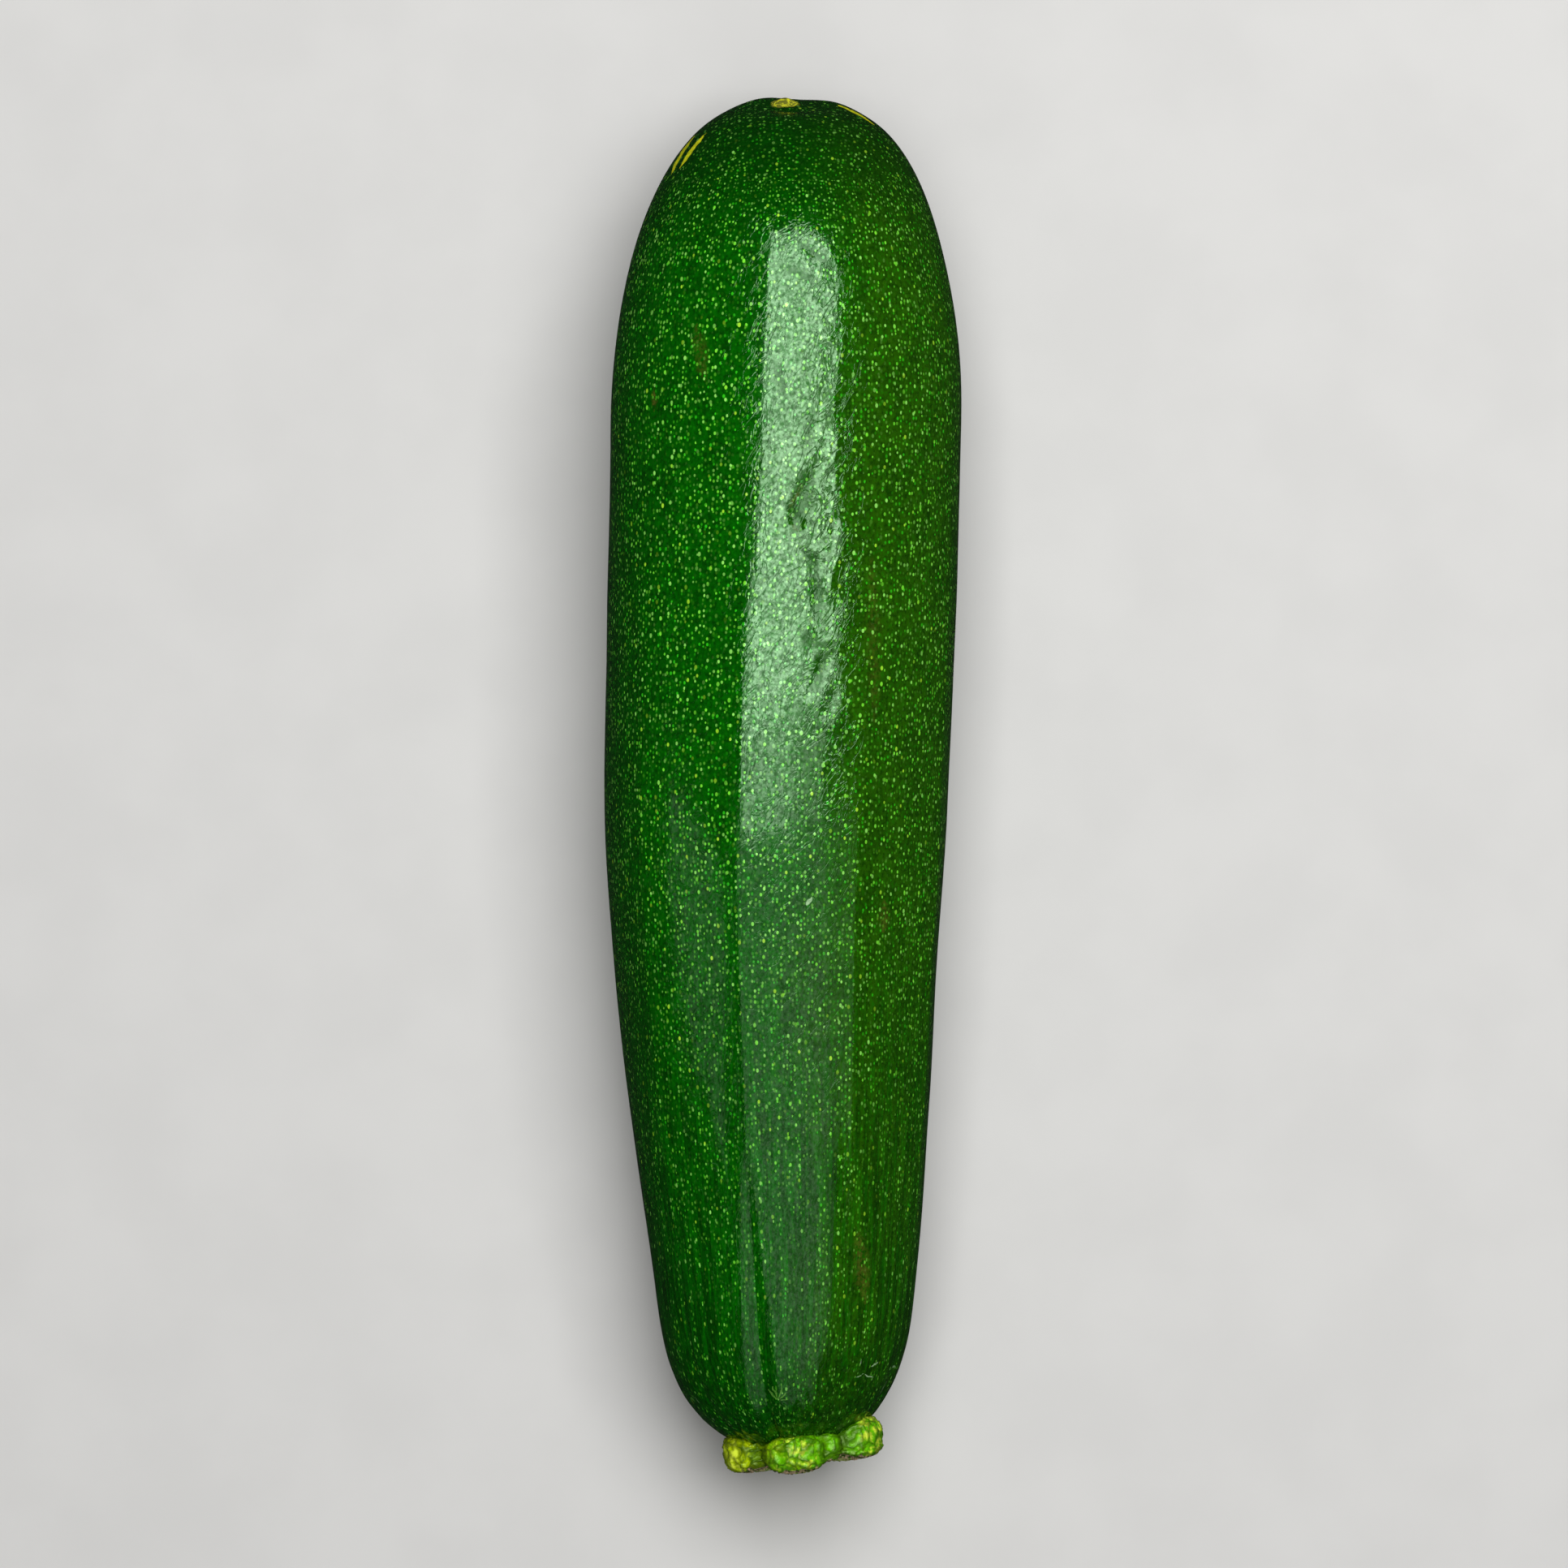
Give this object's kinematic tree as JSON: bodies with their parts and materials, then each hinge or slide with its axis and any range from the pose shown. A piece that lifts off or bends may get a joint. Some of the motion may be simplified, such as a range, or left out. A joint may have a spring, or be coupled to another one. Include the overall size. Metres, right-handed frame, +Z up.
{
  "type": "courgette",
  "caption": "Whole dark green courgette lying on its side, with blunt ribs that deepen towards the stem, a rounded blossom end and a lobed stub of cut stem.",
  "frame": {"origin": "middle of the bounding box's foot, on the surface that the courgette lies on", "axes": "+Z up, +Y along the fruit towards its blossom end, so the cut stem points along -Y"},
  "size_m": [0.0518, 0.2002, 0.0492],
  "materials": {
    "skin": "waxy sheen over dark green skin with fine pale specks",
    "stem": "knobbly, pale yellow-green"
  },
  "bodies": {
    "root": {"fruit": "skin", "stem_stub": "stem"}
  },
  "joints": []
}
